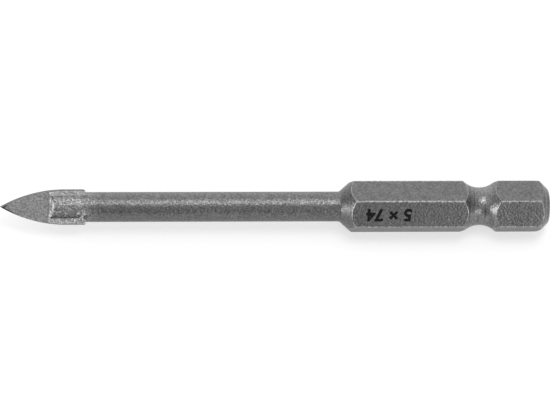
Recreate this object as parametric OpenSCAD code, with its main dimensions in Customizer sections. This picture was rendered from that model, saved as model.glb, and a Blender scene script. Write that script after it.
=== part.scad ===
// Glass and tile drill bit with a hexagon quick-change shank.
// It lies on one flat of the hexagon, with its axis along X and its point towards -X.

/* [Overall] */
// Length from the point of the blade to the flat end of the shank
overall_l = 74; // [66:1:110]

/* [Hexagon shank] */
// Width across the flats
hex_af = 6.35; // [6.1:0.05:6.6]
// How far the corners are broken back, along the radius
corner_break = 0.02; // [0.01:0.01:0.12]
// Length from the foot of the cone to the flat end
shank_l = 28.3; // [26:0.1:32]
// Half angle of the cone between the rod and the hexagon
cone_angle = 42; // [35:1:60]
// Radius of the fillet at the foot of the cone
neck_r = 0.6; // [0.3:0.1:1.6]
// Diameter of the flat end, inside its chamfer
end_d = 4.54; // [4:0.02:5.6]

/* [Locking groove] */
// Distance of the groove's middle from the flat end
groove_back = 9.3; // [8.8:0.1:9.8]
// Diameter at the bottom of the groove
groove_d = 5.05; // [4.6:0.05:5.4]
// Radius of the groove's round section
groove_r = 3.2; // [3:0.1:4]

/* [Rod and prongs] */
// Diameter of the rod
rod_d = 4; // [3.6:0.1:4.4]
// Width of the two prongs that grip the blade
prong_w = 2.96; // [2.4:0.02:3.2]
// Chamfer on the front ends of the prongs
prong_chamfer = 0.2; // [0.1:0.02:0.3]
// Radius where the sides of the prongs run out into the rod
runout_r = 0.5; // [0.2:0.05:0.6]

/* [Blade] */
// Diameter of the hole that the blade cuts, across its cutting corners
drill_d = 5; // [4.8:0.1:6]
// Thickness of the blade
blade_t = 1.6; // [1.3:0.05:1.8]
// Length of the blade
blade_l = 11.25; // [10.5:0.05:13]
// Length of the blade that sits between the prongs
seat_l = 4.7; // [4:0.1:5.5]
// Length of the curved point
point_l = 8.7; // [7.5:0.1:9.5]
// Relief angle behind the cutting edges
relief = 6; // [4:1:12]
// Turn of the blade about the axis, from lying level
blade_turn = 40; // [0:5:60]

/* [Braze] */
// Thickness of the braze between the blade and the prongs
braze_t = 0.08; // [0.05:0.01:0.12]
// Height and reach of the braze bead around the feet of the prongs
bead = 0.22; // [0.1:0.02:0.26]
// Angle at which the bead meets the blade and the prongs
wetting_angle = 20; // [12:1:40]
// How far the braze runs out ahead of the prongs
braze_run = 0.3; // [0.28:0.02:0.6]
// How far the braze stays back from the edges of the blade
braze_margin = 0.06; // [0.02:0.01:0.1]

/* [Hidden] */
$fn = 96;
// How far a cutter runs past the surface that it cuts
spare = 1;

rod_r = rod_d / 2;
hex_r = hex_af / sqrt(3);
corner_r = hex_r - corner_break;

// Stations along the axis, measured from the point
nose = blade_l - seat_l;
slot_end = blade_l + braze_t;
cone_foot = overall_l - shank_l;
cone_top = cone_foot + (corner_r - rod_r) / tan(cone_angle);
chamfer_start = overall_l - (corner_r - end_d / 2);

slot_w = blade_t + 2 * braze_t;

// The cutting diameter is the diagonal of the blade's section
blade_w = sqrt(drill_d * drill_d - blade_t * blade_t);
// Half the blade's width, square to its relieved sides
edge_w = blade_w / 2 * cos(relief) - blade_t / 2 * sin(relief);
// Radius of the curve that runs from the point into the straight sides
point_r = (point_l * point_l + edge_w * edge_w) / (2 * edge_w);

// Carries what is drawn along +X from the point to its place in the resting frame
module laid_down() {
    translate([-overall_l / 2, 0, hex_af / 2]) children();
}

// Turns about the axis to the frame of the blade: Y across its width, Z through its thickness
module in_blade_frame() {
    laid_down() rotate([blade_turn, 0, 0]) children();
}

// Repeats a shape on the other side of the axis, half a turn round
module both_halves() {
    for (turn = [0, 180]) rotate([turn, 0, 0]) children();
}

// A solid of revolution about the X axis, from a profile in (radius, station)
module turned() {
    rotate([0, 90, 0]) rotate_extrude() children();
}

// The round profile of the whole shank, before its flats and slot
module shank_profile() {
    tangent = neck_r * tan(cone_angle / 2);
    fillet_top = [rod_r + tangent * sin(cone_angle), cone_foot + tangent * cos(cone_angle)];

    difference() {
        union() {
            polygon([
                [0, nose],
                [rod_r - prong_chamfer, nose],
                [rod_r, nose + prong_chamfer],
                [rod_r, cone_foot],
                [corner_r, cone_top],
                [corner_r, chamfer_start],
                [end_d / 2, overall_l],
                [0, overall_l],
            ]);
            difference() {
                polygon([
                    [0, cone_foot - tangent],
                    [rod_r, cone_foot - tangent],
                    fillet_top,
                    [0, fillet_top.y],
                ]);
                translate([rod_r + neck_r, cone_foot - tangent]) circle(neck_r);
            }
        }
        translate([groove_d / 2 + groove_r, overall_l - groove_back]) circle(groove_r);
    }
}

// Six flats along the whole length, one of them facing down
module hexagon_bar() {
    rotate([0, 90, 0]) rotate([0, 0, 30]) translate([0, 0, -spare])
        cylinder(r = hex_r, h = overall_l + 2 * spare, $fn = 6);
}

// The slot that the blade is seated in
module slot() {
    translate([nose - spare, -rod_d, -slot_w / 2])
        cube([slot_end - nose + spare, 2 * rod_d, slot_w]);
}

// What is ground off one side of the prongs, with its round run-out
module prong_side() {
    side = prong_w / 2;
    length = slot_end - nose + spare;
    translate([0, 0, -rod_d]) linear_extrude(2 * rod_d) {
        translate([nose - spare, side]) square([length - runout_r, rod_d]);
        translate([nose - spare, side + runout_r]) square([length, rod_d]);
        translate([slot_end - runout_r, side + runout_r]) circle(runout_r);
    }
}

// Outline of the blade, square to its relieved sides: a curved point and straight sides
module blade_outline(inset) {
    module one_side() {
        intersection() {
            translate([point_l, point_r - edge_w]) circle(point_r - inset);
            translate([-spare, -drill_d]) square([point_l + spare, 2 * drill_d]);
        }
        translate([point_l, inset - edge_w]) square([blade_l - point_l, drill_d + edge_w]);
    }
    intersection() {
        one_side();
        mirror([0, 1]) one_side();
    }
}

// The blade's relieved sides as a slanting prism, cut to a layer of its thickness
module blade_layer(from, thickness, start, inset = 0) {
    intersection() {
        rotate([relief, 0, 0]) translate([0, 0, -drill_d])
            linear_extrude(2 * drill_d) blade_outline(inset);
        translate([start, -drill_d, from])
            cube([blade_l - start + spare, 2 * drill_d, thickness]);
    }
}

// Hollow section of the braze bead, with its corner at the origin
module bead_section() {
    middle = bead / (1 - tan(wetting_angle));
    difference() {
        square(middle);
        translate([middle, middle]) circle(middle / cos(wetting_angle));
    }
}

// The bead round the foot of one prong: along both sides, across the front and round the corners
module prong_bead() {
    side = prong_w / 2;
    translate([0, 0, slot_w / 2]) {
        for (hand = [0, 1]) mirror([0, hand, 0]) {
            translate([nose, side, 0]) rotate([90, 0, 90])
                linear_extrude(slot_end - runout_r - nose) bead_section();
            translate([nose, side, 0]) intersection() {
                rotate_extrude() bead_section();
                translate([-spare, 0, 0]) cube(spare);
            }
        }
        translate([nose, side, 0]) rotate([90, 0, 0]) mirror([1, 0, 0])
            linear_extrude(prong_w) bead_section();
    }
}

// Steel shank: rod, cone, hexagon, locking groove and the slotted front end
module shank() {
    color([0.44, 0.44, 0.45]) difference() {
        laid_down() intersection() {
            turned() shank_profile();
            hexagon_bar();
        }
        in_blade_frame() {
            slot();
            both_halves() prong_side();
        }
    }
}

// Spear-pointed carbide blade, relieved for right-hand cutting
module carbide_blade() {
    color([0.52, 0.52, 0.53]) in_blade_frame()
        blade_layer(-blade_t / 2, blade_t, -spare);
}

// Braze that holds the blade: a layer on both faces, a web behind it and beads at the prongs
module braze() {
    color([0.7, 0.69, 0.67]) in_blade_frame() {
        both_halves() {
            blade_layer(blade_t / 2, braze_t, nose - braze_run, braze_margin);
            prong_bead();
        }
        intersection() {
            rotate([0, 90, 0]) translate([0, 0, blade_l]) cylinder(r = rod_r, h = braze_t);
            slot();
        }
    }
}

shank();
carbide_blade();
braze();
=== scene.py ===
# Looks of a glass and tile drill bit: blasted steel shank, ground carbide blade and uneven braze.
import math

import bmesh
import bpy
import numpy as np
from mathutils import Matrix, Vector, noise


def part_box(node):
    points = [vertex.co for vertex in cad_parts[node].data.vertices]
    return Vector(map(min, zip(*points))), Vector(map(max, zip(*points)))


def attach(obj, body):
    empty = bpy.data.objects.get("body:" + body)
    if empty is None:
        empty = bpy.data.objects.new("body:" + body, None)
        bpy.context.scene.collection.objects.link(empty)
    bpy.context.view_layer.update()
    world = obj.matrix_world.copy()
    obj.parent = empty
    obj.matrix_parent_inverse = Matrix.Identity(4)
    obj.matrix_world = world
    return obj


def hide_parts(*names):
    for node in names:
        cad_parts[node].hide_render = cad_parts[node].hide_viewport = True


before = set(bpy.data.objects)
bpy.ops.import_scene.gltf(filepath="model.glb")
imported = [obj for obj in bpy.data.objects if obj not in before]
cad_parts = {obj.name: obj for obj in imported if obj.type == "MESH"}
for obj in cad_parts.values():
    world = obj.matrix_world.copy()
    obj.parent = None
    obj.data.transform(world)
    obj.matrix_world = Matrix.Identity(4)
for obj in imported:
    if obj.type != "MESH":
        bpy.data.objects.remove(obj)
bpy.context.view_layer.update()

# Sizes are in millimetres, apart from those of the stage, and become metres when a mesh is made
MM = 0.001

# Sizes taken from the solids
shank_low, shank_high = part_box("shank")
blade_low, blade_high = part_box("carbide_blade")
TIP_X = blade_low.x / MM
OVERALL_L = (shank_high.x - blade_low.x) / MM
HEX_AF = shank_high.z / MM
AXIS_Z = HEX_AF / 2
NOSE = (shank_low.x - blade_low.x) / MM
BLADE_L = (blade_high.x - blade_low.x) / MM

# Shank, as the solids have it; stations along the axis are measured from the point
ROD_R = 2.0
CORNER_BREAK = 0.02
SHANK_L = 28.3
CONE_ANGLE = math.radians(42)
NECK_R = 0.6
END_R = 2.27
GROOVE_BACK = 9.3
GROOVE_BOTTOM_R = 2.525
GROOVE_R = 3.2
PRONG_W = 2.96
RUNOUT_R = 0.5
HEX_R = HEX_AF / math.sqrt(3)
CONE_FOOT = OVERALL_L - SHANK_L
CONE_TOP = CONE_FOOT + (HEX_R - CORNER_BREAK - ROD_R) / math.tan(CONE_ANGLE)
GROOVE_MID = OVERALL_L - GROOVE_BACK

# Blade and braze, as the solids have them
DRILL_D = 5.0
BLADE_T = 1.6
BRAZE_T = 0.08
POINT_L = 8.7
RELIEF = math.radians(6)
BLADE_TURN = math.radians(40)
SLOT_W = BLADE_T + 2 * BRAZE_T
SLOT_END = BLADE_L + BRAZE_T
BLADE_W = math.sqrt(DRILL_D ** 2 - BLADE_T ** 2)
EDGE_W = BLADE_W / 2 * math.cos(RELIEF) - BLADE_T / 2 * math.sin(RELIEF)
POINT_R = (POINT_L ** 2 + EDGE_W ** 2) / (2 * EDGE_W)

# Roundings of the shank: at the noses of the prongs, between flats, on turned edges, and where the
# chamfer meets the flats, along the last END_ZONE of the length
NOSE_ROUND = 0.5
FLAT_EDGE = 0.015
TURNED_EDGE = 0.065
END_EDGE = 0.12
END_ZONE = 2.0

# Share of the rounding at each corner of the hexagon, counted from the back over the top
CORNER_SHARES = np.array([1.0, 1.0, 1.0, 0.2, 1.0, 1.0])

# Unevenness of the corners' rounding: its least and its range, and the size, seed and spacing of its lumps
UNEVEN_LEAST = 0.3
UNEVEN_RANGE = 1.4
UNEVEN_SIZE = 0.6
UNEVEN_SEED = 3
UNEVEN_SPACING = 5

# Wear along the hexagon's corners, where 1 is burnished, and the share of all wear that is left on the
# top face behind the groove, within an angle of its middle
CORNER_WEAR = 0.14
REAR_TOP_WEAR = 0.5
TOP_FACE_HALF = math.pi / 6.2

# Nicks in the corner that faces the camera: station, half length and half width, and their depth
NICKS = ((49.8, 0.22, 0.10), (54.7, 0.20, 0.12), (59.2, 0.10, 0.08))
NICK_DEPTH = 0.03
NICKED_CORNER = math.radians(120)

# Length behind the foot of the cone over which the turning marks come in
TURNING_FADE = 3.0

# Painted shade along the feet of the prongs: how far it reaches up from one foot and from the other,
# its share at the other, how far it runs past the slot, and the length over which it fades there
FOOT_SHADE_REACH = 0.42
OTHER_FOOT_SHADE_REACH = 0.2
OTHER_FOOT_SHADE = 0.8
FOOT_SHADE_PAST_SLOT = 0.3
FOOT_SHADE_FADE = 0.6

# Where the shank's rings are closer together: how far past the slot, and at its edges, from the groove's
# middle, before and after the top of the cone, and from the end
SLOT_PAST = 1
GROOVE_LIP = (1.8, 2.6)
CONE_LIP = (0.6, 0.1)
CHAMFER_LIP = (1.5, 0.8)

# How far the chamfer's last ring is from the end, and the rings of the flat end: how far they lie inside
# its rim, and how far from the end
CHAMFER_LAST = 0.06
END_RINGS = ((0.02, 0.018), (0.07, 0.0), (1.2, 0.0))

# How far a cutter starts ahead of the prongs, and the points along the round run-out of their sides
CUTTER_AHEAD = 1
RUNOUT_POINTS = 9

# How far the painted shade along the blade's edges reaches: in from its edges, along its lower and upper
# edge from the tip, and the share of the depth below its faces that counts as distance from an edge
TIP_SHADE_EDGE = 0.2
TIP_SHADE_LOWER = 1.9
TIP_SHADE_UPPER = 0.8
TIP_SHADE_DEPTH = 0.8

# Rings of the blade, which crowd at the tip, and the points across and through its section
TIP_L = 3.0
TIP_RINGS = 40
TIP_CROWDING = 1.7
BODY_START = 3.2
BODY_RINGS = 42
FACE_POINTS = 31
SIDE_POINTS = 14

# Lumps of the braze: the size of each kind, and what it adds to the seed
LUMPS = {
    "broad": (0.55, 0),
    "fine": (0.2, 1),
    "reach": (0.5, 2),
    "rise": (0.3, 3),
    "run": (0.8, 4),
    "skin": (0.26, 5),
    "collar": (0.35, 6),
    "drops": (0.24, 7),
    "ridge": (0.3, 8),
}

# Film of braze on the blade: its least share of the layer's thickness, its grain on the calm and the
# rough side, the level of lumps that adds nothing, and its least height
FILM_LEAST = 0.2
FILM_GRAIN_CALM = 0.1
FILM_GRAIN_ROUGH = 0.2
FILM_LEVEL = 0.42
FILM_FLOOR = 0.01

# Bead round the feet of the prongs: its least reach and range, its rise ahead of them and on the calm and
# the rough side, its grain, the level of lumps that adds nothing, and how hollow it is
BEAD_REACH = 0.12
BEAD_REACH_RANGE = 0.4
BEAD_RISE_AHEAD = 0.3
BEAD_RISE_CALM = 0.2
BEAD_RISE_ROUGH = 0.05
BEAD_GRAIN = 0.5
BEAD_LEVEL = 0.45
BEAD_HOLLOW = 1.2

# Front of the braze: how far it runs ahead of the prongs, with its range and middle level, and the least
# height, range, distance back and width of the ridge along it
RUN = 0.25
RUN_RANGE = 0.35
RUN_LEVEL = 0.5
RIDGE = 0.02
RIDGE_RANGE = 0.22
RIDGE_BACK = 0.17
RIDGE_WIDTH = 0.13

# Outline of the braze: its least margin from the blade's edges and range, and over what distance it rises
# from its front and from its sides
SIDE_MARGIN = 0.05
SIDE_MARGIN_RANGE = 0.05
FRONT_SLOPE = 0.14
SIDE_SLOPE = 0.1

# Braze on the noses of the prongs: its least length, the length, middle and width of its tongue, its grain
# and middle level, the length over which it thins out, and the range of its thickness and what that lacks
COLLAR = 0.04
COLLAR_TONGUE = 0.42
TONGUE_MIDDLE = 0.25
TONGUE_WIDTH = 0.6
COLLAR_GRAIN = 0.4
COLLAR_LEVEL = 0.45
COLLAR_THINNING = 0.15
COLLAR_T = 0.34
COLLAR_LACK = 0.06

# Drops of braze at a back corner of the prongs: the middle along and across, their reach, their height
# and middle level, and how much they fall over their reach
DROPS_AT = (10.9, -1.3)
DROPS_REACH = 1.0
DROPS_HEIGHT = 0.3
DROPS_LEVEL = 0.42
DROPS_FALL = 0.1

# How deep the sheet of braze lies under the steel where a prong is bare
BARE_DEPTH = 0.05

# Bright, fresh braze: its middle ahead of the noses and its length, and the width over which it dims
# towards the rough side, to a least share
FRESH_AHEAD = 0.1
FRESH_LENGTH = 0.3
FRESH_FADE = 0.3
FRESH_LEAST = 0.2

# Calm braze: how far inside the side of a prong it starts, and the width over which it comes in
CALM_INSIDE = 0.1
CALM_FADE = 0.2

# Both sheets of braze: the face of the blade that each is on, its seed, and its share of brightness
BRAZE_SHEETS = ((1, 11, 1.0), (-1, 31, 0.4))

# Grid of a sheet: how far ahead of the prongs it starts, its rows ahead of and beside them, its columns
# below, over and above a prong, and how deep its base lies in the blade
SHEET_AHEAD = 0.5
ROWS_AHEAD = 18
ROWS_BESIDE = 90
COLUMNS_BELOW = 20
COLUMNS_OVER = 66
COLUMNS_ABOVE = 18
SHEET_BASE = 0.03

# Web of braze behind the blade: points along each end, and how far it stays inside the rod
WEB_POINTS = 13
WEB_INSET = 0.03

# Angles above which an edge is shaded sharp, and the distance within which points lie together
SHANK_SHARP = math.radians(38)
BLADE_SHARP = math.radians(30)
BRAZE_SHARP = math.radians(60)
TOGETHER = 0.0005

# A step so small that a point on a border counts as inside it
TOUCHING = 1e-6

# Spacing of the seeds in the noise that makes lumps
SEED_SPACING = 7.3

# Trace of blue in the greys of steel and carbide
BLUE_TRACE = 0.003

# Where the etched skin of the prongs fades out, before and after the end of the slot, and where the coarser
# grain of the rod does, on both sides of the foot of the cone
ETCHED_FADE = (1.5, 2.0)
ROD_FADE = 1.0

# Size mark: its text, the height and boldness of its figures, half the thickness of its ink, its middle
# along X, and the tilt of its flat
MARK_TEXT = "5 \u00d7 74"
MARK_SIZE = 2.35
MARK_BOLD = 0.09
MARK_INK = 0.006
MARK_X = 15.0
MARK_TILT = math.pi / 6

# Floor: its grey, how much it is whitened where it is seen, also in reflections, its roughness, and half
# its side and its drop below the bit in metres
FLOOR_GREY = 0.45
FLOOR_WHITENING = 0.56
FLOOR_ROUGHNESS = 0.9
FLOOR_HALF = 3.0
FLOOR_DROP = 0.00002

# Light of the world as place and level, from front to back, its strength, and its share at both ends
WORLD_LEVELS = (
    (0.0, 0.02), (0.05, 0.2), (0.12, 0.5), (0.25, 0.64),
    (0.45, 0.54), (0.72, 0.88), (0.85, 1.03), (1.0, 1.26),
)
WORLD_STRENGTH = 1.4
WORLD_ENDS = 0.4

# Soft lamps, in metres: where each is, the point that it shines at, its width, height and radiance
LAMPS = {
    "overhead": ((0.05, -0.022, 0.30), (0.0, 0.0, 0.0), 0.14, 0.08, 6.4),
    "left": ((-0.31, -0.27, 0.13), (0.02, 0.0, 0.0), 0.18, 0.18, 6.5),
    "right": ((0.205, -0.345, 0.10), (0.02, 0.0, 0.0), 0.14, 0.14, 3.9),
    "end": ((-0.40, -0.08, 0.05), (0.0, 0.0, 0.0), 0.20, 0.12, 3.4),
}

# Camera: a little to the tip's side of square on, from above, with a long lens; its distance and reach are
# in metres, and the drop is how far the bit lies below the middle of the frame
CAMERA_YAW = math.radians(9)
CAMERA_PITCH = math.radians(50)
CAMERA_ROLL = math.radians(-0.12)
CAMERA_LENS = 800
CAMERA_DISTANCE = 1.635
CAMERA_REACH = 10
CAMERA_DROP = 0.017


def new_mesh_piece(name, vertices, faces):
    """A mesh piece in the shared frame, from points in millimetres, that rides with the bit."""
    mesh = bpy.data.meshes.new(name)
    mesh.from_pydata([tuple(v) for v in np.asarray(vertices) * MM], [], faces)
    mesh.validate()
    piece = bpy.data.objects.new(name, mesh)
    bpy.context.scene.collection.objects.link(piece)
    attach(piece, "root")
    return piece


def note(piece, name, values):
    """Keeps a value on each point of a piece, for its material to read."""
    attribute = piece.data.attributes.new(name, "FLOAT", "POINT")
    attribute.data.foreach_set("value", np.asarray(values, np.float32))


def smooth_min(a, b, width):
    """The lesser of two radii with a rounded crossing, and how near each point is to the crossing."""
    nearness = np.clip(1 - np.abs(a - b) / width, 0, 1)
    return np.minimum(a, b) - nearness ** 2 * width / 4, nearness


def lumps(s, w, size, seed):
    """Smooth random lumps between 0 and 1, about size millimetres across."""
    flat = zip(np.ravel(s) / size, np.ravel(w) / size)
    values = [0.5 + 0.5 * noise.noise(Vector((a, b, SEED_SPACING * seed))) for a, b in flat]
    return np.array(values).reshape(np.shape(s))


def in_blade_frame(s, w, n):
    """A point given along the axis, across the blade and through its thickness, in the shared frame."""
    c, t = math.cos(BLADE_TURN), math.sin(BLADE_TURN)
    return (TIP_X + s, w * c - n * t, AXIS_Z + w * t + n * c)


def weld(piece):
    """Joins points that lie together, and turns every face outwards."""
    bm = bmesh.new()
    bm.from_mesh(piece.data)
    bmesh.ops.remove_doubles(bm, verts=bm.verts, dist=TOGETHER * MM)
    bmesh.ops.dissolve_degenerate(bm, edges=bm.edges, dist=TOGETHER * MM)
    bmesh.ops.recalc_face_normals(bm, faces=bm.faces)
    bm.to_mesh(piece.data)
    bm.free()


# Shank

def turned_radius(s):
    """Radius of the turned shape at station s, before its flats, and its nearness to an edge."""
    tangent = NECK_R * math.tan(CONE_ANGLE / 2)
    fillet_start = CONE_FOOT - tangent
    fillet_end = CONE_FOOT + tangent * math.cos(CONE_ANGLE)
    arc = ROD_R + NECK_R - np.sqrt(np.maximum(NECK_R ** 2 - (s - fillet_start) ** 2, 0))
    cone = ROD_R + (s - CONE_FOOT) * math.tan(CONE_ANGLE)
    radius = np.where(s < fillet_start, ROD_R, np.where(s < fillet_end, arc, cone))
    radius, edge = smooth_min(radius, np.full_like(s, HEX_R - CORNER_BREAK), TURNED_EDGE)

    from_groove = s - GROOVE_MID
    inside = np.sqrt(np.maximum(GROOVE_R ** 2 - from_groove ** 2, 0))
    groove = np.where(inside > 0, GROOVE_BOTTOM_R + GROOVE_R - inside, HEX_R * 2)
    radius, near_groove = smooth_min(radius, groove, TURNED_EDGE)
    radius, near_end = smooth_min(radius, END_R + OVERALL_L - s, TURNED_EDGE)

    return radius - nose_drop(s), np.maximum(edge, np.maximum(near_groove, near_end))


def nose_drop(s):
    """How much smaller the radius is at station s, because the front ends of the prongs are rounded."""
    into_nose = np.clip(1 - (s - NOSE) / NOSE_ROUND, 0, 1)
    return NOSE_ROUND * (1 - np.sqrt(1 - into_nose ** 2))


def hexagon_radius(s, angle):
    """Radius of the hexagon bar at a station and angle, and its nearness to a corner."""
    from_corner = np.mod(angle + math.pi / 6, math.pi / 3) - math.pi / 6
    one = HEX_AF / 2 / np.cos(math.pi / 6 - from_corner)
    other = HEX_AF / 2 / np.cos(math.pi / 6 + from_corner)
    corner = np.round(angle / (math.pi / 3)).astype(int)
    share = CORNER_SHARES[corner % 6]
    uneven = lumps(s, UNEVEN_SPACING * corner, UNEVEN_SIZE, UNEVEN_SEED)
    width = FLAT_EDGE * share * (UNEVEN_LEAST + UNEVEN_RANGE * uneven)
    radius, nearness = smooth_min(one, other, width)
    return radius, nearness * share


def ring_stations():
    """Stations of the shank's rings, closest together where its edges and curves are."""
    cone_from, cone_to = CONE_TOP - CONE_LIP[0], CONE_TOP + CONE_LIP[1]
    lip_in, lip_out = GROOVE_LIP
    end_from, end_to = OVERALL_L - CHAMFER_LIP[0], OVERALL_L - CHAMFER_LIP[1]
    last = OVERALL_L - CHAMFER_LAST
    starts_and_steps = [
        (NOSE, 0.025),
        (NOSE + NOSE_ROUND, 0.25),
        (SLOT_END + SLOT_PAST, 0.8),
        (CONE_FOOT - NECK_R, 0.05),
        (cone_from, 0.02),
        (cone_to, 0.1),
        (GROOVE_MID - lip_out, 0.025),
        (GROOVE_MID - lip_in, 0.1),
        (GROOVE_MID + lip_in, 0.025),
        (GROOVE_MID + lip_out, 0.5),
        (end_from, 0.025),
        (end_to, 0.12),
    ]
    ends = [start for start, _ in starts_and_steps[1:]] + [last]
    spans = []
    for (start, step), end in zip(starts_and_steps, ends):
        spans.append(np.linspace(start, end, max(2, round((end - start) / step) + 1))[:-1])
    return np.concatenate(spans + [[last]])


def ring_angles():
    """Angles of the shank's columns, closest together at the hexagon's corners."""
    half = np.radians([0.1, 0.2, 0.35, 0.6, 1, 1.8, 3, 5, 8, 12, 16, 21, 26])
    sector = np.concatenate([-half[::-1], [0], half, [math.pi / 6]])
    return np.concatenate([sector + corner * math.pi / 3 for corner in range(6)])


def shank_mesh():
    """The whole shank before its slot: points, faces, and what its material reads on each point."""
    angles = ring_angles()
    s, angle = np.meshgrid(ring_stations(), angles, indexing="ij")
    turned, near_turned = turned_radius(s)
    flats, near_corner = hexagon_radius(s, angle)
    rounding = np.where(s > OVERALL_L - END_ZONE, END_EDGE, TURNED_EDGE)
    radius, near_both = smooth_min(turned, flats, rounding)
    near_turned = near_turned * (turned < flats + TURNED_EDGE)
    near_corner = CORNER_WEAR * near_corner * (flats < turned + TURNED_EDGE)
    worn = np.maximum(near_both, np.maximum(near_turned, near_corner))
    on_top = np.abs(angle - math.pi / 2) < TOP_FACE_HALF
    worn = np.where((s > GROOVE_MID) & on_top, REAR_TOP_WEAR, 1.0) * worn
    from_corner = HEX_R * (np.mod(angle - NICKED_CORNER + math.pi, 2 * math.pi) - math.pi)
    for station, length, width in NICKS:
        nick = np.exp(-((s - station) / length) ** 2 - (from_corner / width) ** 2)
        worn = np.maximum(worn, nick)
        radius = radius - NICK_DEPTH * nick
    below_flats = np.clip((flats - turned) / TURNED_EDGE, 0, 1)
    cut = below_flats * np.clip((s - CONE_FOOT) / TURNING_FADE, 0, 1)
    across = radius * np.cos(angle - BLADE_TURN) * np.sign(np.sin(angle - BLADE_TURN))
    from_foot = np.maximum(PRONG_W / 2 + across, 0)
    from_other = np.maximum(PRONG_W / 2 - across, 0)
    # Painted shade along the feet of the prongs, strongest at one foot and fainter at the other
    foot_shade = np.maximum(
        np.exp(-(from_foot / FOOT_SHADE_REACH) ** 2),
        OTHER_FOOT_SHADE * np.exp(-(from_other / OTHER_FOOT_SHADE_REACH) ** 2),
    )
    foot_shade = foot_shade * np.clip((SLOT_END + FOOT_SHADE_PAST_SLOT - s) / FOOT_SHADE_FADE, 0, 1)

    # The flat end, inside a small rounding
    for inset, short in END_RINGS:
        s = np.vstack([s, np.full(len(angles), OVERALL_L - short)])
        radius = np.vstack([radius, np.full(len(angles), END_R - inset)])
        worn = np.vstack([worn, np.full(len(angles), 1.0 if short else 0.0)])
        cut = np.vstack([cut, np.full(len(angles), 1.0)])
        foot_shade = np.vstack([foot_shade, np.zeros(len(angles))])

    rings, columns = s.shape
    around = np.tile(angles, (rings, 1))
    y, z = radius * np.cos(around), AXIS_Z + radius * np.sin(around)
    points = np.stack([TIP_X + s, y, z], axis=-1).reshape(-1, 3)
    faces = []
    for i in range(rings - 1):
        here, behind = i * columns, (i + 1) * columns
        for j in range(columns):
            k = (j + 1) % columns
            faces.append((here + j, behind + j, behind + k, here + k))
    front, back = len(points), len(points) + 1
    points = np.vstack([points, [TIP_X + NOSE, 0, AXIS_Z], [TIP_X + OVERALL_L, 0, AXIS_Z]])
    last = (rings - 1) * columns
    for j in range(columns):
        k = (j + 1) % columns
        faces.append((front, j, k))
        faces.append((back, last + k, last + j))
    notes = {
        "worn": np.append(worn.ravel(), [0, 0]),
        "cut": np.append(cut.ravel(), [0, 1]),
        "foot_shade": np.append(foot_shade.ravel(), [0, 0]),
    }
    return points, faces, notes


def prism(bm, outline, low, high):
    """A prism from an outline in (station, across), between two depths through the thickness."""
    bottom = [bm.verts.new(in_blade_frame(s, w, low)) for s, w in outline]
    top = [bm.verts.new(in_blade_frame(s, w, high)) for s, w in outline]
    bm.faces.new(bottom[::-1])
    bm.faces.new(top)
    for i in range(len(outline)):
        j = (i + 1) % len(outline)
        bm.faces.new((bottom[i], bottom[j], top[j], top[i]))


def cutter_object(*prisms):
    """An object to cut with, from prisms that don't meet: outline, lower depth and upper depth of each."""
    bm = bmesh.new()
    for outline, low, high in prisms:
        prism(bm, outline, low, high)
    bmesh.ops.scale(bm, vec=(MM, MM, MM), verts=bm.verts)
    bmesh.ops.recalc_face_normals(bm, faces=bm.faces)
    mesh = bpy.data.meshes.new("cutter")
    bm.to_mesh(mesh)
    bm.free()
    cutter = bpy.data.objects.new("cutter", mesh)
    bpy.context.scene.collection.objects.link(cutter)
    return cutter


def slot_cutters():
    """What is taken off the front of the shank: the blade's slot, then both sides of the prongs."""
    reach = 2 * ROD_R
    start = NOSE - CUTTER_AHEAD
    side = PRONG_W / 2
    slot = [(start, -reach), (SLOT_END, -reach), (SLOT_END, reach), (start, reach)]
    runout = [(SLOT_END - RUNOUT_R * (1 - math.sin(turn)), side + RUNOUT_R * (1 - math.cos(turn)))
              for turn in np.linspace(0, math.pi / 2, RUNOUT_POINTS)]
    outline = [(start, side)] + runout + [(SLOT_END, reach), (start, reach)]
    mirrored = [(s, -w) for s, w in outline[::-1]]
    return [
        cutter_object((slot, -SLOT_W / 2, SLOT_W / 2)),
        cutter_object((outline, -reach, reach), (mirrored, -reach, reach)),
    ]


def cut_away(piece, cutter):
    """Takes the cutter's shape off the piece for good, and removes the cutter."""
    boolean = piece.modifiers.new("cut", "BOOLEAN")
    boolean.operation = "DIFFERENCE"
    boolean.solver = "EXACT"
    boolean.object = cutter
    graph = bpy.context.evaluated_depsgraph_get()
    result = bpy.data.meshes.new_from_object(piece.evaluated_get(graph))
    piece.modifiers.clear()
    piece.data = result
    bpy.data.objects.remove(cutter)


def build_shank():
    """The blasted shank, with the blade's slot and the sides of its prongs cut away."""
    points, faces, notes = shank_mesh()
    shank = new_mesh_piece("shank_blasted", points, faces)
    for name, values in notes.items():
        note(shank, name, values)
    for cutter in slot_cutters():
        cut_away(shank, cutter)
    shank.data.shade_smooth()
    shank.data.set_sharp_from_angle(angle=SHANK_SHARP)
    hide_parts("shank")
    return shank


# Blade

def face_edges(s):
    """Where the lower and upper edges of the blade's seen face are, across it, at station s."""
    before = np.clip(POINT_L - s, 0, None)
    half = EDGE_W - POINT_R + np.sqrt(POINT_R ** 2 - before ** 2)
    lean = BLADE_T / 2 * math.tan(RELIEF)
    return -half / math.cos(RELIEF) - lean, half / math.cos(RELIEF) - lean


def blade_ring(s, across, through):
    """One ring of the blade's section: along the seen face, down a side, and back by the other face."""
    low, high = face_edges(s)
    face = [(low + (high - low) * a, BLADE_T / 2) for a in across]
    other = [(-w, -n) for w, n in face]
    sides = [[(p[0] + (q[0] - p[0]) * f, p[1] + (q[1] - p[1]) * f) for f in through]
             for p, q in ((face[-1], other[0]), (other[-1], face[0]))]
    return face + sides[0] + other + sides[1]


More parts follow.
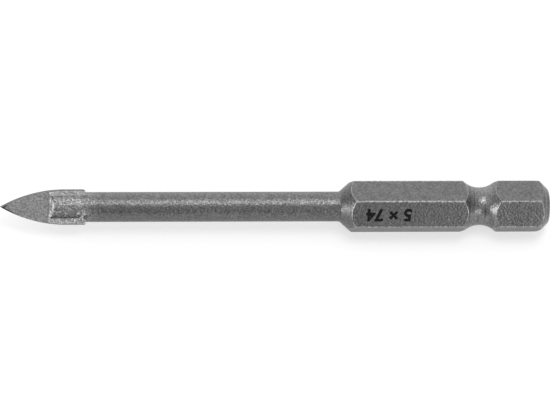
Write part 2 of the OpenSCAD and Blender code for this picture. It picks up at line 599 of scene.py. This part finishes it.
def build_blade():
    """The spear-pointed blade, with a note on each point of how much painted shade it has near the edges at
    its tip.
    """
    tip = np.linspace(0, 1, TIP_RINGS) ** TIP_CROWDING * TIP_L
    stations = np.concatenate([tip, np.linspace(BODY_START, BLADE_L, BODY_RINGS)])
    ease = np.linspace(-1, 1, FACE_POINTS)
    across = (ease * (1.5 - 0.5 * ease ** 2) + 1) / 2
    through = np.linspace(0, 1, SIDE_POINTS)[1:-1]
    points, faces, tip_shade = [], [], []
    for s in stations:
        low, high = face_edges(s)
        for w, n in blade_ring(s, across, through):
            shift = (BLADE_T / 2 - n) * math.tan(RELIEF)
            depth = TIP_SHADE_DEPTH * (BLADE_T / 2 - abs(n))
            from_lower = max(w - low - shift, 0) + depth
            from_upper = max(high + shift - w, 0) + depth
            points.append(in_blade_frame(s, w, n))
            # Painted shade along the edges near the tip, fading in from them and back from the tip
            tip_shade.append(max(
                math.exp(-from_lower / TIP_SHADE_EDGE - (s / TIP_SHADE_LOWER) ** 2),
                math.exp(-from_upper / TIP_SHADE_EDGE - (s / TIP_SHADE_UPPER) ** 2),
            ))
    ring = len(points) // len(stations)
    for i in range(len(stations) - 1):
        here, behind = i * ring, (i + 1) * ring
        for j in range(ring):
            k = (j + 1) % ring
            faces.append((here + j, here + k, behind + k, behind + j))
    last = (len(stations) - 1) * ring
    faces.append(tuple(range(last, last + ring)))
    blade = new_mesh_piece("blade_ground", points, faces)
    note(blade, "tip_shade", tip_shade)
    weld(blade)
    blade.data.shade_smooth()
    blade.data.set_sharp_from_angle(angle=BLADE_SHARP)
    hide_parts("carbide_blade")
    return blade


# Braze

def braze_lumps(kind, s, w, seed):
    """Lumps of one of the braze's kinds."""
    size, step = LUMPS[kind]
    return lumps(s, w, size, seed + step)


def prong_skin(s, w, seed):
    """Height of the braze that has run onto a prong: round its nose, and in drops at a back corner."""
    steel = np.sqrt(np.maximum((ROD_R - nose_drop(s)) ** 2 - w ** 2, 0)) - BLADE_T / 2
    tongue = COLLAR_TONGUE * np.exp(-((w - TONGUE_MIDDLE) / TONGUE_WIDTH) ** 2)
    grain = COLLAR_GRAIN * (braze_lumps("collar", s, w, seed) - COLLAR_LEVEL)
    cover = np.clip((NOSE + (COLLAR + tongue + grain) - s) / COLLAR_THINNING, -1, 1)
    thickness = COLLAR_T * braze_lumps("skin", s, w, seed) - COLLAR_LACK
    skin = np.where(cover > 0, thickness * cover, -BARE_DEPTH)

    from_drops = np.hypot(s - DROPS_AT[0], w - DROPS_AT[1])
    drops = DROPS_HEIGHT * (braze_lumps("drops", s, w, seed) - DROPS_LEVEL)
    drops = drops - DROPS_FALL * from_drops / DROPS_REACH
    return steel + np.maximum(skin, np.where(from_drops < DROPS_REACH, drops, -BARE_DEPTH))


def braze_height(s, w, seed):
    """Height of the braze above the blade's face, and how far inside its outline a point is."""
    low, high = face_edges(s)
    ahead = np.maximum(NOSE - s, 0)
    aside = np.maximum(np.abs(w) - PRONG_W / 2, 0)
    from_prong = np.hypot(ahead, aside)
    under = (np.abs(w) < PRONG_W / 2 + TOUCHING) & (s > NOSE - TOUCHING)

    fine = braze_lumps("fine", s, w, seed)
    grain = np.where(w > 0, FILM_GRAIN_CALM, FILM_GRAIN_ROUGH) * (fine - FILM_LEVEL)
    film = BRAZE_T * (FILM_LEAST + braze_lumps("broad", s, w, seed)) + grain
    reach = BEAD_REACH + BEAD_REACH_RANGE * braze_lumps("reach", s, w, seed)
    rise = np.where(ahead > 0, BEAD_RISE_AHEAD, np.where(w < 0, BEAD_RISE_ROUGH, BEAD_RISE_CALM))
    rise = rise + BEAD_GRAIN * (braze_lumps("rise", s, w, seed) - BEAD_LEVEL)
    bead = rise * np.clip(1 - from_prong / reach, 0, 1) ** BEAD_HOLLOW
    height = np.maximum(film, FILM_FLOOR) + np.maximum(bead, 0)

    run = RUN + RUN_RANGE * (braze_lumps("run", np.zeros_like(w), w, seed) - RUN_LEVEL)
    behind_front = s - NOSE + run
    ridge = RIDGE + RIDGE_RANGE * braze_lumps("ridge", s, w, seed)
    height = height + ridge * np.exp(-((behind_front - RIDGE_BACK) / RIDGE_WIDTH) ** 2)
    margin = SIDE_MARGIN + SIDE_MARGIN_RANGE * fine
    from_sides = np.minimum(w - low - margin, high - margin - w)
    inside = np.minimum(behind_front / FRONT_SLOPE, from_sides / SIDE_SLOPE)
    height = height * np.sqrt(np.clip(inside, 0, 1))
    return np.where(under, np.maximum(prong_skin(s, w, seed), height), height), inside


def braze_freshness(s, w):
    """How bright the braze is: most at the noses of the prongs, and less beside their rough side."""
    side = np.clip((w + PRONG_W / 2) / FRESH_FADE, FRESH_LEAST, 1)
    return side * np.exp(-((s - NOSE + FRESH_AHEAD) / FRESH_LENGTH) ** 2)


def braze_calmness(w):
    """How smooth the braze is: most beside one side of the prongs, where it has less grain."""
    return np.clip((w - PRONG_W / 2 + CALM_INSIDE) / CALM_FADE, 0, 1)


def braze_side(hand, seed):
    """The braze on one face of the blade: a lumpy sheet, closed by a base just inside the blade."""
    side = PRONG_W / 2
    ahead = np.linspace(NOSE - SHEET_AHEAD, NOSE, ROWS_AHEAD)[:-1]
    stations = np.concatenate([ahead, np.linspace(NOSE, BLADE_L, ROWS_BESIDE)])
    rows = []
    for s in stations:
        low, high = face_edges(s)
        rows.append(np.concatenate([
            np.linspace(low, -side, COLUMNS_BELOW)[:-1],
            np.linspace(-side, side, COLUMNS_OVER)[:-1],
            np.linspace(side, high, COLUMNS_ABOVE),
        ]))
    w = np.array(rows)
    s = np.repeat(stations[:, None], w.shape[1], axis=1)
    height, inside = braze_height(s, w, seed)
    points = []
    for level in (BLADE_T / 2 + height.ravel(), np.full(w.size, BLADE_T / 2 - SHEET_BASE)):
        points += [in_blade_frame(*p) for p in zip(s.ravel(), hand * w.ravel(), hand * level)]
    kept = inside > 0
    keep = kept[:-1, :-1] & kept[1:, :-1] & kept[:-1, 1:] & kept[1:, 1:]
    fresh = np.tile(braze_freshness(s, w).ravel(), 2)
    calm = np.tile(braze_calmness(w).ravel(), 2)
    return points, fresh, calm, sheet_faces(keep, w.shape, w.size)


def sheet_faces(keep, shape, below):
    """Faces of a closed sheet over the kept cells of a grid; its base points follow its top points."""
    rows, columns = shape
    faces = []
    padded = np.pad(keep, 1)
    for i in range(rows - 1):
        for j in range(columns - 1):
            if not keep[i, j]:
                continue
            a, b = i * columns + j, (i + 1) * columns + j
            corners = [a, b, b + 1, a + 1]
            faces.append(tuple(corners))
            faces.append(tuple(c + below for c in corners[::-1]))
            beside = [(i + 1, j), (i + 2, j + 1), (i + 1, j + 2), (i, j + 1)]
            for k, other in enumerate(beside):
                if not padded[other]:
                    p, q = corners[k], corners[(k + 1) % 4]
                    faces.append((q, p, p + below, q + below))
    return faces


def braze_web():
    """The braze behind the blade, at the bottom of the slot."""
    depths = np.linspace(-SLOT_W / 2, SLOT_W / 2, WEB_POINTS)
    right = [(math.sqrt((ROD_R - WEB_INSET) ** 2 - n ** 2), n) for n in depths]
    outline = right + [(-w, n) for w, n in right[::-1]]
    count = len(outline)
    points = [in_blade_frame(s, w, n) for s in (BLADE_L, SLOT_END) for w, n in outline]
    faces = [tuple(range(count)), tuple(range(2 * count - 1, count - 1, -1))]
    faces += [(i, i + count, (i + 1) % count + count, (i + 1) % count) for i in range(count)]
    return points, faces


def build_braze():
    """Uneven filler metal around the blade: over both its faces, onto the prongs, and behind it."""
    points, faces = braze_web()
    freshness = [np.zeros(len(points))]
    calmness = [np.zeros(len(points))]
    for hand, seed, brightness in BRAZE_SHEETS:
        more, fresh, calm, sheet = braze_side(hand, seed)
        faces += [tuple(c + len(points) for c in face) for face in sheet]
        points = points + more
        freshness.append(brightness * fresh)
        calmness.append(calm)
    braze = new_mesh_piece("braze_filler", points, faces)
    note(braze, "fresh", np.concatenate(freshness))
    note(braze, "calm", np.concatenate(calmness))
    drop_loose_points(braze)
    braze.data.shade_smooth()
    braze.data.set_sharp_from_angle(angle=BRAZE_SHARP)
    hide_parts("braze")
    return braze


def drop_loose_points(piece):
    """Removes points that no face uses, and turns every face outwards."""
    bm = bmesh.new()
    bm.from_mesh(piece.data)
    bmesh.ops.delete(bm, geom=[v for v in bm.verts if not v.link_faces], context="VERTS")
    bmesh.ops.recalc_face_normals(bm, faces=bm.faces)
    bm.to_mesh(piece.data)
    bm.free()


# Size mark

def build_size_mark():
    """The bit's diameter and length, printed along the flat that faces the camera."""
    curve = bpy.data.curves.new("size_mark", "FONT")
    curve.body = MARK_TEXT
    curve.align_x = "CENTER"
    curve.align_y = "CENTER"
    curve.size = MARK_SIZE * MM
    curve.offset = MARK_BOLD * MM
    curve.extrude = MARK_INK * MM
    text = bpy.data.objects.new("size_mark_text", curve)
    bpy.context.scene.collection.objects.link(text)
    graph = bpy.context.evaluated_depsgraph_get()
    mesh = bpy.data.meshes.new_from_object(text.evaluated_get(graph))
    bpy.data.objects.remove(text)

    outward = Vector((0, -math.cos(MARK_TILT), math.sin(MARK_TILT)))
    reading = Vector((-1, 0, 0))
    upward = outward.cross(reading)
    place = Vector((MARK_X, 0, AXIS_Z)) * MM + outward * HEX_AF / 2 * MM
    turn = Matrix((reading, upward, outward)).transposed().to_4x4()
    mesh.transform(Matrix.Translation(place) @ turn)
    mark = bpy.data.objects.new("size_mark", mesh)
    bpy.context.scene.collection.objects.link(mark)
    weld(mark)
    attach(mark, "root")
    return mark


# Materials

def cool(level):
    """A grey with a trace of blue."""
    return (level, level, level + BLUE_TRACE)


class Nodes:
    """A material's node tree, with short ways to add and join its nodes."""

    def __init__(self, name):
        self.material = bpy.data.materials.new(name)
        self.material.use_nodes = True
        self.tree = self.material.node_tree
        self.shader = self.tree.nodes["Principled BSDF"]
        self.place = self.add("ShaderNodeTexCoord").outputs["Object"]

    def add(self, kind, **settings):
        """A new node of a kind, with its settings."""
        node = self.tree.nodes.new(kind)
        for key, value in settings.items():
            setattr(node, key, value)
        return node

    def join(self, source, target):
        """Links an output to an input."""
        self.tree.links.new(source, target)

    def noise(self, size, detail=3.0, roughness=0.55, place=None):
        """Noise whose blobs are about size millimetres across."""
        node = self.add("ShaderNodeTexNoise")
        node.inputs["Scale"].default_value = 1 / (size * MM)
        node.inputs["Detail"].default_value = detail
        node.inputs["Roughness"].default_value = roughness
        self.join(place or self.place, node.inputs["Vector"])
        return node.outputs["Fac"]

    def stretched(self, x, y, z):
        """The place with its axes stretched, for marks that run one way."""
        node = self.add("ShaderNodeMapping")
        node.inputs["Scale"].default_value = (x, y, z)
        self.join(self.place, node.inputs["Vector"])
        return node.outputs["Vector"]

    def ramp(self, value, *stops):
        """Maps a value to colours or greys at the given stops."""
        node = self.add("ShaderNodeValToRGB")
        elements = node.color_ramp.elements
        while len(elements) < len(stops):
            elements.new(0.5)
        for element, (position, colour) in zip(elements, stops):
            element.position = position
            rgb = colour if isinstance(colour, tuple) else (colour,) * 3
            element.color = (*rgb, 1.0)
        self.join(value, node.inputs["Fac"])
        return node.outputs["Color"]

    def math(self, operation, a, b):
        """Two values or outputs, put together by a math operation."""
        node = self.add("ShaderNodeMath", operation=operation)
        for socket, value in zip(node.inputs, (a, b)):
            if isinstance(value, (int, float)):
                socket.default_value = value
            else:
                self.join(value, socket)
        return node.outputs["Value"]

    def mix(self, factor, a, b, blend="MIX"):
        """Two colours, mixed by a factor."""
        node = self.add("ShaderNodeMix", data_type="RGBA", blend_type=blend)
        for socket, value in zip((node.inputs[0], node.inputs[6], node.inputs[7]), (factor, a, b)):
            if isinstance(value, tuple):
                socket.default_value = (*value, 1.0)
            elif isinstance(value, (int, float)):
                socket.default_value = value
            else:
                self.join(value, socket)
        return node.outputs[2]

    def speckled(self, colour, size, dark, bright):
        """A colour broken up by fine grains, from dark to bright times as bright."""
        grains = self.noise(size, detail=1.0)
        return self.mix(1.0, colour, self.ramp(grains, (0.34, dark), (0.66, bright)), "MULTIPLY")

    def along(self, start, end):
        """A value that falls from 1 to 0 between two stations along the axis."""
        parts = self.add("ShaderNodeSeparateXYZ")
        self.join(self.place, parts.inputs["Vector"])
        node = self.add("ShaderNodeMapRange", interpolation_type="SMOOTHSTEP")
        node.inputs["From Min"].default_value = (TIP_X + start) * MM
        node.inputs["From Max"].default_value = (TIP_X + end) * MM
        node.inputs["To Min"].default_value = 1
        node.inputs["To Max"].default_value = 0
        self.join(parts.outputs["X"], node.inputs["Value"])
        return node.outputs["Result"]

    def attribute(self, name):
        """A value that is kept on the points of the piece."""
        return self.add("ShaderNodeAttribute", attribute_name=name).outputs["Fac"]

    def bump(self, height, depth, strength=1.0, before=None):
        """Bump whose full height is depth millimetres."""
        node = self.add("ShaderNodeBump")
        node.inputs["Strength"].default_value = strength
        node.inputs["Distance"].default_value = depth * MM
        self.join(height, node.inputs["Height"])
        if before is not None:
            self.join(before, node.inputs["Normal"])
        return node.outputs["Normal"]

    def set(self, name, value):
        """Sets an input of the shader to a constant, or joins an output to it."""
        socket = self.shader.inputs[name]
        if isinstance(value, (int, float, tuple)):
            socket.default_value = value
        else:
            self.join(value, socket)


def blasted_steel():
    """Grey steel with a satin, bead-blasted skin, burnished edges, turning marks in its cuts, and painted
    shade along the feet of the prongs.
    """
    n = Nodes("blasted_steel")
    blotches = n.noise(1.3, detail=4)
    grains = n.noise(0.3, detail=1.5)
    worn = n.attribute("worn")
    cut = n.attribute("cut")

    etched = n.along(SLOT_END - ETCHED_FADE[0], SLOT_END + ETCHED_FADE[1])
    rings = n.noise(0.22, detail=3, place=n.stretched(1.0, 0.04, 0.04))

    skin = n.ramp(blotches, (0.3, cool(0.170)), (0.7, cool(0.205)))
    turned = n.ramp(rings, (0.35, cool(0.170)), (0.65, cool(0.285)))
    skin = n.mix(cut, skin, turned)
    prongs = n.ramp(blotches, (0.3, cool(0.37)), (0.7, cool(0.49)))
    skin = n.mix(etched, skin, n.speckled(prongs, 0.27, 0.45, 1.0))
    rod = n.along(CONE_FOOT - ROD_FADE, CONE_FOOT + ROD_FADE)
    skin = n.mix(rod, n.speckled(skin, 0.25, 0.60, 0.94), n.speckled(skin, 0.25, 0.56, 0.98))
    # Painted shade: the feet of the prongs are darkened almost to black
    foot_shade = n.math("MULTIPLY", n.attribute("foot_shade"), n.ramp(grains, (0.35, 0.6), (0.6, 1.0)))
    skin = n.mix(foot_shade, skin, (0.035, 0.035, 0.036))
    patches = n.ramp(n.noise(0.45, detail=3), (0.4, 0.12), (0.6, 1.0))
    edge = n.math("MULTIPLY", n.ramp(worn, (0.1, 0.0), (0.7, 1.0)), patches)
    n.set("Base Color", n.mix(edge, skin, (0.42, 0.42, 0.42)))
    n.set("Metallic", 1.0)
    rough = n.ramp(grains, (0.3, 0.33), (0.7, 0.42))
    rough = n.mix(cut, rough, n.ramp(grains, (0.3, 0.26), (0.7, 0.36)))
    n.set("Roughness", n.mix(etched, rough, n.ramp(grains, (0.3, 0.30), (0.7, 0.43))))

    pits = n.bump(n.math("MULTIPLY", grains, n.ramp(rod, (0.0, 0.75), (1.0, 1.0))), 0.066, 0.9)
    pits = n.bump(n.math("MULTIPLY", n.noise(0.3, detail=3), etched), 0.08, 0.9, pits)
    n.set("Normal", n.bump(n.math("MULTIPLY", rings, cut), 0.045, 0.8, pits))
    return n.material


def ground_carbide():
    """Matt grey carbide with fine grinding marks, and painted shade, almost black, along the edges at its
    tip.
    """
    n = Nodes("ground_carbide")
    clouds = n.noise(0.8, detail=4)
    grains = n.noise(0.24, detail=2, place=n.stretched(0.7, 1.2, 1.2))
    face = n.ramp(clouds, (0.3, cool(0.290)), (0.7, cool(0.350)))
    face = n.speckled(face, 0.22, 0.54, 1.0)
    # Painted shade: the edges near the tip are darkened almost to black
    tip_shade = n.math("MULTIPLY", n.attribute("tip_shade"), n.ramp(grains, (0.35, 0.7), (0.6, 1.0)))
    n.set("Base Color", n.mix(n.ramp(tip_shade, (0.1, 0.0), (0.45, 1.0)), face, (0.03, 0.03, 0.03)))
    n.set("Metallic", 1.0)
    n.set("Roughness", n.ramp(grains, (0.3, 0.45), (0.7, 0.56)))
    n.set("Specular Tint", (0.45, 0.45, 0.45, 1))
    n.set("Normal", n.bump(grains, 0.03, 0.8))
    return n.material


def braze_metal():
    """Pale filler metal with a half bright, lumpy skin, smoother where it is calm."""
    n = Nodes("braze_metal")
    clouds = n.noise(0.28, detail=4)
    grains = n.noise(0.2, detail=2)
    calm = n.attribute("calm")
    skin = n.ramp(clouds, (0.3, 0.22), (0.7, (0.48, 0.48, 0.477)))
    skin = n.mix(calm, skin, n.ramp(clouds, (0.3, 0.25), (0.7, (0.34, 0.34, 0.338))))
    fresh = n.ramp(clouds, (0.3, (0.50, 0.50, 0.498)), (0.7, (0.85, 0.85, 0.845)))
    n.set("Base Color", n.mix(n.attribute("fresh"), skin, fresh))
    n.set("Metallic", 1.0)
    n.set("Roughness", n.ramp(clouds, (0.3, 0.3), (0.7, 0.46)))
    grains = n.math("MULTIPLY", grains, n.ramp(calm, (0.0, 1.0), (1.0, 0.5)))
    n.set("Normal", n.bump(grains, 0.11, 0.9))
    return n.material


def printing_ink():
    """Thin black ink, a little worn where the steel's grain stands out."""
    n = Nodes("printing_ink")
    grains = n.noise(0.2, detail=2)
    n.set("Base Color", n.ramp(grains, (0.45, 0.003), (0.75, 0.016)))
    n.set("Roughness", n.ramp(grains, (0.3, 0.6), (0.7, 0.8)))
    n.set("Specular IOR Level", 0.12)
    n.set("Normal", n.bump(grains, 0.01, 0.5))
    return n.material


def paint(piece, material):
    """Gives a piece its one material."""
    piece.data.materials.clear()
    piece.data.materials.append(material)


# Stage

def add_floor():
    """A white floor that keeps the bit's shadow."""
    mesh = bpy.data.meshes.new("floor")
    corners = [(x * FLOOR_HALF, y * FLOOR_HALF, 0) for x, y in ((-1, -1), (1, -1), (1, 1), (-1, 1))]
    mesh.from_pydata(corners, [], [(0, 1, 2, 3)])
    floor = bpy.data.objects.new("floor", mesh)
    floor.location.z = -FLOOR_DROP
    bpy.context.scene.collection.objects.link(floor)

    material = bpy.data.materials.new("white_floor")
    material.use_nodes = True
    tree = material.node_tree
    shader = tree.nodes["Principled BSDF"]
    shader.inputs["Base Color"].default_value = (FLOOR_GREY, FLOOR_GREY, FLOOR_GREY, 1)
    shader.inputs["Roughness"].default_value = FLOOR_ROUGHNESS
    shader.inputs["Specular IOR Level"].default_value = 0.0
    shader.inputs["Emission Color"].default_value = (1, 1, 1, 1)
    path = tree.nodes.new("ShaderNodeLightPath")
    seen = path.outputs["Is Camera Ray"]
    for other in ("Is Glossy Ray", "Is Transmission Ray"):
        either = tree.nodes.new("ShaderNodeMath")
        either.operation = "MAXIMUM"
        tree.links.new(seen, either.inputs[0])
        tree.links.new(path.outputs[other], either.inputs[1])
        seen = either.outputs["Value"]
    share = tree.nodes.new("ShaderNodeMath")
    share.operation = "MULTIPLY"
    share.inputs[1].default_value = FLOOR_WHITENING
    tree.links.new(seen, share.inputs[0])
    tree.links.new(share.outputs["Value"], shader.inputs["Emission Strength"])
    floor.data.materials.append(material)


def add_softbox(name, place, aim, width, height, radiance):
    """A soft lamp of the given size and brightness, in metres, that shines at a point."""
    lamp = bpy.data.lights.new(name, "AREA")
    lamp.shape = "RECTANGLE"
    lamp.size = width
    lamp.size_y = height
    lamp.energy = radiance * math.pi * width * height
    box = bpy.data.objects.new(name, lamp)
    box.location = place
    box.rotation_euler = (Vector(aim) - Vector(place)).to_track_quat("-Z", "Y").to_euler()
    box.visible_camera = False
    bpy.context.scene.collection.objects.link(box)


def add_world():
    """Dim in front and at both ends, and bright behind, as in a studio with its lamps behind."""
    world = bpy.data.worlds.new("studio")
    world.use_nodes = True
    bpy.context.scene.world = world
    tree = world.node_tree
    background = tree.nodes["Background"]
    way = tree.nodes.new("ShaderNodeTexCoord")
    parts = tree.nodes.new("ShaderNodeSeparateXYZ")
    depth = tree.nodes.new("ShaderNodeMapRange")
    depth.inputs["From Min"].default_value = -1
    depth.inputs["From Max"].default_value = 1
    ramp = tree.nodes.new("ShaderNodeValToRGB")
    elements = ramp.color_ramp.elements
    while len(elements) < len(WORLD_LEVELS):
        elements.new(0.5)
    for element, (position, level) in zip(elements, WORLD_LEVELS):
        element.position = position
        element.color = (level, level, level, 1)
    square = tree.nodes.new("ShaderNodeMath")
    square.operation = "MULTIPLY"
    fade = tree.nodes.new("ShaderNodeMapRange")
    fade.inputs["To Min"].default_value = WORLD_STRENGTH
    fade.inputs["To Max"].default_value = WORLD_STRENGTH * WORLD_ENDS
    tree.links.new(way.outputs["Generated"], parts.inputs["Vector"])
    tree.links.new(parts.outputs["Y"], depth.inputs["Value"])
    tree.links.new(depth.outputs["Result"], ramp.inputs["Fac"])
    tree.links.new(ramp.outputs["Color"], background.inputs["Color"])
    tree.links.new(parts.outputs["X"], square.inputs[0])
    tree.links.new(parts.outputs["X"], square.inputs[1])
    tree.links.new(square.outputs["Value"], fade.inputs["Value"])
    tree.links.new(fade.outputs["Result"], background.inputs["Strength"])


def add_camera():
    """Looks at the middle of the axis, with the axis level in the frame apart from a slight roll."""
    camera = bpy.data.objects.new("camera", bpy.data.cameras.new("camera"))
    camera.data.lens = CAMERA_LENS
    camera.data.clip_end = CAMERA_REACH
    back = Vector((
        -math.sin(CAMERA_YAW),
        -math.cos(CAMERA_YAW) * math.cos(CAMERA_PITCH),
        math.cos(CAMERA_YAW) * math.sin(CAMERA_PITCH),
    ))
    right = (Vector((1, 0, 0)) - back * back.x).normalized()
    up = back.cross(right)
    middle = Vector((TIP_X + OVERALL_L / 2, 0, AXIS_Z)) * MM + up * CAMERA_DROP * MM
    turn = Matrix((right, up, back)).transposed().to_4x4()
    camera.matrix_world = (
        Matrix.Translation(middle + back * CAMERA_DISTANCE)
        @ turn
        @ Matrix.Rotation(CAMERA_ROLL, 4, "Z")
    )
    bpy.context.scene.collection.objects.link(camera)
    bpy.context.scene.camera = camera


bpy.context.scene.view_settings.view_transform = "Standard"
add_camera()
add_floor()
add_world()
for lamp_name, lamp_settings in LAMPS.items():
    add_softbox(lamp_name, *lamp_settings)

paint(build_shank(), blasted_steel())
paint(build_blade(), ground_carbide())
paint(build_braze(), braze_metal())
paint(build_size_mark(), printing_ink())
